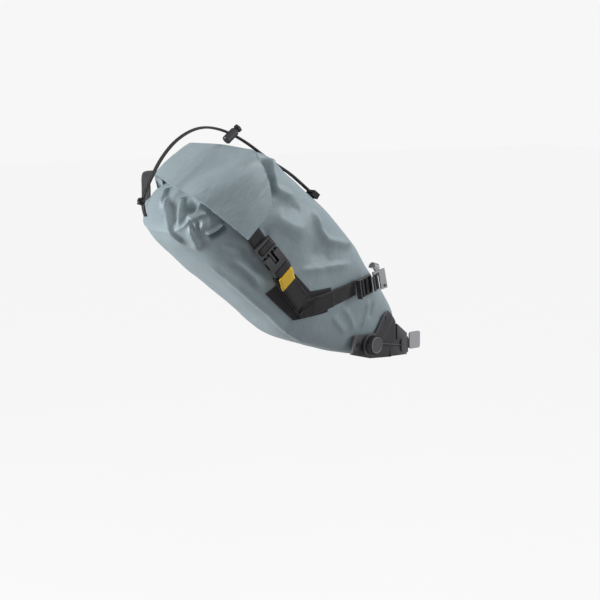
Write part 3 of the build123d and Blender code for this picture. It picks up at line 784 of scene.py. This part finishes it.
knot = build_knot()
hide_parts("cord_knot")
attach(knot, "bag")
for side_name, offset in (("right", -0.00165), ("left", 0.00165)):
    route = [(x, y + offset, z) for x, y, z in CORD_ROUTE]
    cord = nurbs("elastic_cord_" + side_name, route, 0.0015, SHEATH)
    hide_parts("shock_cord_" + side_name)
    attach(cord, "bag")


# ---------------------------------------------------------------- flat pieces that lie on the side of the bag
def decal(name, outline, direction, lift, thick, material, side=-1, cell=0.003):
    """A thin piece cut to an outline in x and z, laid on the bag's side; direction is the cloth's x."""
    outline = np.array(outline, float)
    edge = []
    for a, b in zip(outline, np.roll(outline, -1, axis=0)):
        steps = max(1, int(np.linalg.norm(b - a) / cell))
        edge += [a + (b - a) * k / steps for k in range(steps)]
    count = len(edge)
    low, high = outline.min(0), outline.max(0)
    inside = []
    for x in np.arange(low[0] + cell / 2, high[0], cell):
        for z in np.arange(low[1] + cell / 2, high[1], cell):
            inside.append(np.array([x, z]))
    points = [Vector(p) for p in edge + inside]
    loop = list(range(count))
    verts2, _, faces, _, _, _ = delaunay_2d_cdt(points, [(i, (i + 1) % count) for i in loop], [], 1, 1e-7)
    used = sorted({i for f in faces for i in f})
    place = {i: k for k, i in enumerate(used)}
    d = unit(np.array(direction, float))
    top, bottom, cloth = [], [], []
    for i in used:
        p, n = bag_side(verts2[i].x, verts2[i].y, side)
        top.append(p + n * (lift + thick))
        bottom.append(p + n * lift)
        flat = np.array([verts2[i].x, verts2[i].y])
        cloth.append((flat @ d, flat @ np.array([-d[1], d[0]]), 0))
    total = len(used)
    faces = [tuple(place[i] for i in f) for f in faces]
    edges = {}
    for f in faces:
        for a, b in zip(f, f[1:] + f[:1]):
            edges[(a, b)] = True
    skin = [f if side > 0 else f[::-1] for f in faces]
    ax, ay, az = (np.array(top[i]) for i in skin[0][:3])
    if np.cross(ay - ax, az - ax)[1] * side < 0:
        skin = [f[::-1] for f in skin]
    walls = []
    border = [(a, b) for f in skin for a, b in zip(f, f[1:] + f[:1])]
    have = set(border)
    for a, b in border:
        if (b, a) not in have:
            walls.append((b, a, a + total, b + total))
    under = [tuple(i + total for i in f[::-1]) for f in skin]
    return make(name, top + bottom, skin + under + walls, material, cloth + cloth)


def ribbon(name, path, across, width, thick, material, samples=6, crown=0.0):
    """A band along a path, with the given width directions."""
    line = catmull(path, samples)
    w = catmull(across, samples)
    t = unit(np.gradient(line, axis=0))
    w = unit(w - (w * t).sum(1, keepdims=True) * t)
    n = np.cross(t, w)
    half = width / 2
    profile = []
    steps = 8
    for k in range(steps + 1):
        x = -1 + 2 * k / steps
        profile.append((x * half, thick / 2 * (1 - 0.35 * abs(x) ** 6) + crown * (1 - x * x)))
    for k in range(steps + 1):
        x = 1 - 2 * k / steps
        profile.append((x * half, -thick / 2 * (1 - 0.35 * abs(x) ** 6) + crown * (1 - x * x)))
    g = np.array([line + w * x + n * z for x, z in profile]).transpose(1, 0, 2)
    length = np.concatenate([[0], np.cumsum(np.linalg.norm(np.diff(line, axis=0), axis=1))])
    cloth = np.zeros(g.shape)
    cloth[..., 0] = length[:, None]
    cloth[..., 1] = np.array([p[0] for p in profile])[None]
    verts = list(g.reshape(-1, 3))
    flat = list(cloth.reshape(-1, 3))
    cols = len(profile)
    faces = grid_faces(len(line), cols, wrap=True)
    for ring, flip in ((0, False), (len(line) - 1, True)):
        f = tuple(ring * cols + j for j in range(cols))
        faces.append(f[::-1] if not flip else f)
    return make(name, verts, faces, material, flat)


def on_bag(x, z, side, lift):
    p, n = bag_side(x, z, side)
    return p + n * lift


def xz(v):
    return (v[0], v[2])


def strap_point(along, across):
    """A point of the closure strap's own plane, in x and z."""
    p = BUCKLE_ORIGIN + STRAP_UP * along + STRAP_ACROSS * across
    return (p[0], p[2])


def buckle_point(x, y, z, side):
    p = BUCKLE_ORIGIN + STRAP_UP * x - STRAP_ACROSS * y + np.array([0, -z, 0])
    return np.array([p[0], -side * p[1], p[2]])


def outer_layer(along, extra, side):
    """The top layer of the closure webbing: level with the buckle at first, then down onto the bag's side."""
    x, z = strap_point(along, 0)
    high = 0.0725 + 0.0072 + extra
    low = abs(bag_side(x, z, side)[0][1]) + 0.0042 + extra
    w = min(max((-along - 0.026) / 0.026, 0), 1)
    w = w * w * (3 - 2 * w)
    return np.array([x, side * (high * (1 - w) + low * w), z])


def stitches(name, lines, lift, side, gap=0.0032, length=0.0021):
    """Rows of small thread stitches on the bag's side; each line is (start, end) in x and z."""
    verts, faces = [], []
    for start, end in lines:
        a, b = np.array(start), np.array(end)
        total = np.linalg.norm(b - a)
        d = (b - a) / total
        for k in range(int(total / gap)):
            p, n = bag_side(*(a + d * (k + 0.5) * gap), side)
            q, _ = bag_side(*(a + d * ((k + 0.5) * gap + length)), side)
            t = unit(q - p)
            w = np.cross(n, t)
            m = (p + q) / 2 + n * lift
            base = len(verts)
            for u, h, half in ((-1, 0.0, 0.15), (-0.6, 0.35, 0.25), (0.6, 0.35, 0.25), (1, 0.0, 0.15)):
                c = m + t * u * length / 2 + n * h * 0.0009
                verts += [c + w * half * 0.0011, c + n * 0.0002, c - w * half * 0.0011]
            for r in range(3):
                i = base + r * 3
                faces += [(i, i + 1, i + 4, i + 3), (i + 1, i + 2, i + 5, i + 4)]
    return make(name, verts, faces, THREAD)


def side_goods(side):
    tag = "right" if side < 0 else "left"
    rail = unit(np.array([0.977, 0.213]))
    outline = [(-0.248, 0.098), (-0.204, 0.061), (-0.153, 0.067), (-0.153, 0.099), (-0.186, 0.097),
               (-0.212, 0.121), (-0.232, 0.112)]
    patch = decal("wear_patch_" + tag, outline, (-0.6606, 0.7507), 0.0003, 0.0012, PATCH, side)
    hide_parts("side_patch_" + tag)
    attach(patch, "bag")
    outline = [(-0.196, 0.0655), (-0.106, 0.0845), (-0.1105, 0.1045), (-0.1985, 0.0865)]
    band = decal("rail_webbing_" + tag, outline, rail, 0.0030, 0.0018, WEB, side, 0.0025)
    outline = [(-0.200, 0.0700), (-0.196, 0.0655), (-0.148, 0.0757), (-0.1525, 0.0958), (-0.176, 0.0908)]
    tip = decal("rail_webbing_tip_" + tag, outline, rail, 0.0048, 0.0016, WEB, side, 0.0025)
    band = join("rail_webbing_" + tag, [band, tip])
    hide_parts("rail_strap_" + tag)
    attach(band, "bag")
    outline = [strap_point(-0.030, -0.0120), strap_point(-0.096, -0.0120), strap_point(-0.098, 0.0060),
               strap_point(-0.090, 0.0120), strap_point(-0.030, 0.0120)]
    lower = decal("closure_webbing_" + tag, outline, xz(STRAP_UP), 0.0014, 0.0016, WEB, side, 0.0025)
    path = [on_bag(*strap_point(-0.042, 0), side, 0.0024), on_bag(*strap_point(-0.031, 0), side, 0.0030),
            buckle_point(-0.0262, 0, -0.0006, side), buckle_point(-0.0212, 0, -0.0004, side),
            buckle_point(-0.0198, 0, 0.0030, side), buckle_point(-0.0202, 0, 0.0074, side),
            buckle_point(-0.0236, 0, 0.0084, side)]
    path += [outer_layer(-a, 0.0, side) for a in (0.029, 0.036, 0.044, 0.054, 0.064, 0.076, 0.088)]
    loop = ribbon("closure_loop_" + tag, path, [STRAP_ACROSS] * len(path), 0.0226, 0.0015, WEB, 6)
    lower = join("closure_webbing_" + tag, [lower, loop])
    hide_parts("buckle_strap_" + tag)
    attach(lower, "bag")
    path = [outer_layer(-a, 0.0017, side) - STRAP_ACROSS * 0.0018
            for a in (0.0290, 0.034, 0.039, 0.044, 0.0500)]
    yellow = ribbon("yellow_pull_" + tag, path, [STRAP_ACROSS] * len(path), 0.0240, 0.0019, YELLOW, 6)
    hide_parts("buckle_pull_tab_" + tag)
    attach(yellow, "bag")
    return tag


def side_stitches(side):
    tag = "right" if side < 0 else "left"
    along = unit(np.array([0.977, 0.213]))
    across = np.array([-along[1], along[0]])
    start = np.array([-0.150, 0.0857])
    rail = []
    for offset in (-0.0082, 0.0082):
        rail.append((start + across * offset - along * 0.040, start + across * offset))
    for step in (0.0, -0.0035, -0.034):
        middle = start + along * (step - 0.0005)
        rail.append((middle - across * 0.0082, middle + across * 0.0082))
    low, high = strap_point(-0.052, 0), strap_point(-0.086, 0)
    shift = np.array(xz(STRAP_ACROSS)) * 0.0092
    edge = [(np.array(low) + shift, np.array(high) + shift), (np.array(low) - shift, np.array(high) - shift)]
    corner = np.array((-0.2035, 0.0645))
    patch = [(np.array((-0.2450, 0.0985)), corner), (corner, np.array((-0.1560, 0.0700)))]
    pieces = [stitches("thread_a", rail, 0.0070, side), stitches("thread_b", edge, 0.0052, side),
              stitches("thread_c", patch, 0.0016, side)]
    thread = join("stitching_" + tag, pieces)
    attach(thread, "bag")


for side in (-1, 1):
    side_goods(side)
    side_stitches(side)


def upper_strap(side):
    tag = "right" if side < 0 else "left"
    path = [(0.026, 0.0003), (0.0172, -0.0001), (0.0160, 0.0020), (0.0162, 0.0066), (0.0130, 0.0078),
            (0.0099, 0.0060), (0.0098, 0.0010), (0.0125, -0.0008)]
    path = [(0.0480, 0.0012), (0.0400, 0.0012), (0.0330, 0.0010)] + path
    points = [buckle_point(x, 0, z, side) for x, z in path]
    across = [STRAP_ACROSS] * len(points)
    strap = ribbon("roll_webbing_" + tag, points, across, 0.0216, 0.0015, WEB, 6)
    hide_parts("roll_strap_" + tag)
    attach(strap, "plug_" + tag)


def left_strap_end():
    """The strap sewn to the left end of the roll: it folds over the end and hangs down behind."""
    path = [(-0.3040, 0.0770, 0.2400), (-0.3200, 0.0790, 0.2425), (-0.3310, 0.0790, 0.2425),
            (-0.3365, 0.0790, 0.2405), (-0.3385, 0.0790, 0.2340), (-0.3385, 0.0790, 0.2230),
            (-0.3385, 0.0790, 0.2120), (-0.3375, 0.0790, 0.2040)]
    points = [np.array(p) for p in path]
    across = [np.array([0, 1, 0.12])] * len(points)
    strap = ribbon("roll_webbing_end_left", points, across, 0.0216, 0.0015, WEB, 6)
    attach(strap, "bag")


for side in (-1, 1):
    upper_strap(side)
left_strap_end()
batten = build_batten()
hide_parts("roll_stiffener")
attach(batten, "bag")


def hook_webbing(side):
    tag = "right" if side < 0 else "left"
    bar = np.array([-0.07162, side * 0.0461, 0.09876])
    y = np.array([0, side, 0])
    ladder = np.array([-0.0841, side * 0.0588, 0.0978])
    path = [ladder]
    middle = (ladder + bar) / 2 + y * 0.001
    path += [middle]
    for angle in (200, 250, 300, 350, 400, 440):
        a = math.radians(angle)
        path.append(bar + FOOT_X * 0.0034 * -math.cos(a) * -1 + y * 0.0034 * math.sin(a) * -1)
    strap = ribbon("hook_webbing_" + tag, path, [FOOT_Y] * len(path), 0.0196, 0.0014, WEB, 6)
    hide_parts("hook_strap_" + tag)
    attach(strap, "bag")


for side in (-1, 1):
    hook_webbing(side)


def build_dial_highlight_ring():
    """A thin paler ring on the knob's face: a painted highlight along the knob's edge."""
    lean = math.radians(13)
    axis = np.array([math.sin(lean), -math.cos(lean), 0])
    first = np.array([math.cos(lean), math.sin(lean), 0])
    second = np.cross(axis, first)
    centre = np.array([-0.069, -0.032, 0.0135]) + axis * 0.0118
    profile = [(0.0098, 0.0), (0.0099, 0.0005), (0.0103, 0.0007), (0.0107, 0.0005), (0.0108, 0.0)]
    turns = 72
    g = []
    for k in range(turns):
        a = 2 * math.pi * k / turns
        d = first * math.cos(a) + second * math.sin(a)
        g.append([centre + d * r + axis * h for r, h in profile])
    g = np.array(g)
    faces = grid_faces(len(profile), turns, wrap=True)
    # The paler grey of this ring is a painted highlight, not a part of the knob.
    piece = make("dial_highlight_ring", g.transpose(1, 0, 2).reshape(-1, 3), faces, GREY)
    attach(piece, "dial_knob")


build_dial_highlight_ring()


# ---------------------------------------------------------------- stage, light and camera
def dimmed_for_light(tree, seen, cast):
    """A strength that is seen by the camera at one level and lights the object at another."""
    path = tree.nodes.new("ShaderNodeLightPath")
    level = tree.nodes.new("ShaderNodeMapRange")
    level.inputs["To Min"].default_value = cast
    level.inputs["To Max"].default_value = seen
    tree.links.new(path.outputs["Is Camera Ray"], level.inputs["Value"])
    return level.outputs["Result"]


def build_stage():
    m, nodes, links, shader = new_material("floor_white")
    grain = noise_node(nodes, links, coords(nodes, links, "object", (1, 1, 1)), 3.0, 2.0)
    colour = ramp(nodes, links, grain, [(0.3, (0.045, 0.045, 0.045, 1)), (0.7, (0.05, 0.05, 0.05, 1))])
    links.new(colour, shader.inputs["Base Color"])
    shader.inputs["Roughness"].default_value = 0.95
    shader.inputs["Specular IOR Level"].default_value = 0.0
    shader.inputs["Emission Color"].default_value = (1, 1, 1, 1)
    links.new(dimmed_for_light(m.node_tree, 0.90, FILL), shader.inputs["Emission Strength"])
    size = 12.0
    corners = [(-size, -size, -0.45), (size, -size, -0.45), (size, size, -0.45), (-size, size, -0.45)]
    floor = make("floor", corners, [(0, 1, 2, 3)], m)
    world = bpy.data.worlds.new("studio")
    bpy.context.scene.world = world
    world.use_nodes = True
    background = world.node_tree.nodes["Background"]
    background.inputs["Color"].default_value = (1, 1, 1, 1)
    world.node_tree.links.new(dimmed_for_light(world.node_tree, 0.93, FILL), background.inputs["Strength"])


def area_light(name, place, target, size, power):
    data = bpy.data.lights.new(name, "AREA")
    data.shape = "RECTANGLE"
    data.size, data.size_y = size
    data.energy = power
    obj = bpy.data.objects.new(name, data)
    obj.location = place
    obj.rotation_euler = (Vector(target) - Vector(place)).to_track_quat("-Z", "Y").to_euler()
    bpy.context.scene.collection.objects.link(obj)
    return obj


def build_camera():
    azimuth, elevation = math.radians(35), math.radians(8.5)
    level = math.cos(elevation)
    back = Vector((-math.sin(azimuth) * level, -math.cos(azimuth) * level, math.sin(elevation)))
    right = Vector((math.cos(azimuth), -math.sin(azimuth), 0))
    up = back.cross(right)
    target = right * -0.13007 + up * 0.0619
    data = bpy.data.cameras.new("camera")
    data.lens = 88.2
    data.sensor_width = 36
    camera = bpy.data.objects.new("camera", data)
    camera.location = target + back * 2.0
    camera.rotation_euler = (-back).to_track_quat("-Z", "Y").to_euler()
    bpy.context.scene.collection.objects.link(camera)
    bpy.context.scene.camera = camera


FILL = 0.33
TARGET = (-0.19, 0, 0.14)
build_stage()
area_light("top_soft", (0.35, -0.3, 1.5), TARGET, (1.0, 1.0), 15)
area_light("rear_key", (-1.7, 0.50, 0.10), TARGET, (0.6, 0.9), 30)
area_light("front_key", (1.0, -1.3, 0.7), TARGET, (0.8, 1.0), 14)
build_camera()
bpy.context.scene.view_settings.view_transform = "Standard"
